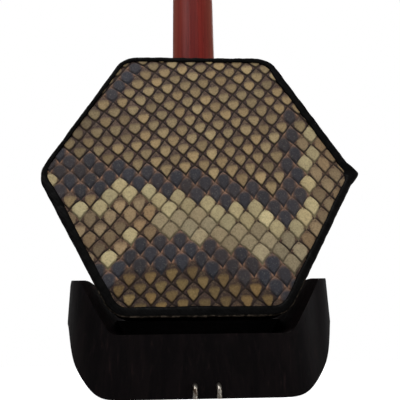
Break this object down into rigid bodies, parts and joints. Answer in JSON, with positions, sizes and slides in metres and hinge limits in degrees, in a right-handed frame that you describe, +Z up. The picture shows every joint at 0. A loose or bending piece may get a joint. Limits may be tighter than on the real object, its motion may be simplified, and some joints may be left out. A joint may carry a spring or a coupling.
{
  "type": "hexagonal erhu",
  "caption": "Unstrung spike fiddle: hexagonal resonator with a reptile-skin face, dark horned base, long neck with a curled head and rear tuning pegs.",
  "frame": {"origin": "where the neck's axis meets the flat underside of the base", "axes": "+Z up along the neck, -Y towards the skin face (the front), +X to the right seen from the front"},
  "size_m": [0.0992, 0.1626, 0.8124],
  "materials": {
    "tube_wood": "satin",
    "neck_wood": "satin",
    "peg_wood": "satin",
    "base_wood": "satin",
    "brass": "satin",
    "bone": "polished bone",
    "fibre": "matt",
    "steel": "satin",
    "snakeskin": "satin, scaled",
    "band_cloth": "matt",
    "felt": "matt",
    "cord": "matt"
  },
  "bodies": {
    "instrument": {"base": "base_wood", "base_screw": "steel", "base_washer": "steel", "edge_band": "band_cloth", "head": "neck_wood", "head_cap": "bone", "inner_peg_bushes": "brass", "inner_peg_washers": "fibre", "neck": "neck_wood", "nut_loop": "cord", "outer_peg_bushes": "brass", "outer_peg_washers": "fibre", "seat_pad": "felt", "snakeskin": "snakeskin", "sound_window": "tube_wood", "string_hooks": "steel", "tube_board_bottom": "tube_wood", "tube_board_lower_left": "tube_wood", "tube_board_lower_right": "tube_wood", "tube_board_top": "tube_wood", "tube_board_upper_left": "tube_wood", "tube_board_upper_right": "tube_wood"},
    "outer_peg": {"outer_peg_spindle": "brass", "outer_peg_handle": "peg_wood", "outer_peg_ferrule": "bone", "outer_peg_screw": "steel", "outer_peg_button": "bone"},
    "inner_peg": {"inner_peg_spindle": "brass", "inner_peg_handle": "peg_wood", "inner_peg_ferrule": "bone", "inner_peg_screw": "steel", "inner_peg_button": "bone"}
  },
  "joints": [
    {"name": "outer_peg_turn", "type": "hinge", "parent": "instrument", "child": "outer_peg", "pos_m": [0, 0, 0.65], "axis": [0, 1, 0], "continuous": true},
    {"name": "inner_peg_turn", "type": "hinge", "parent": "instrument", "child": "inner_peg", "pos_m": [0, 0, 0.726], "axis": [0, 1, 0], "continuous": true}
  ]
}
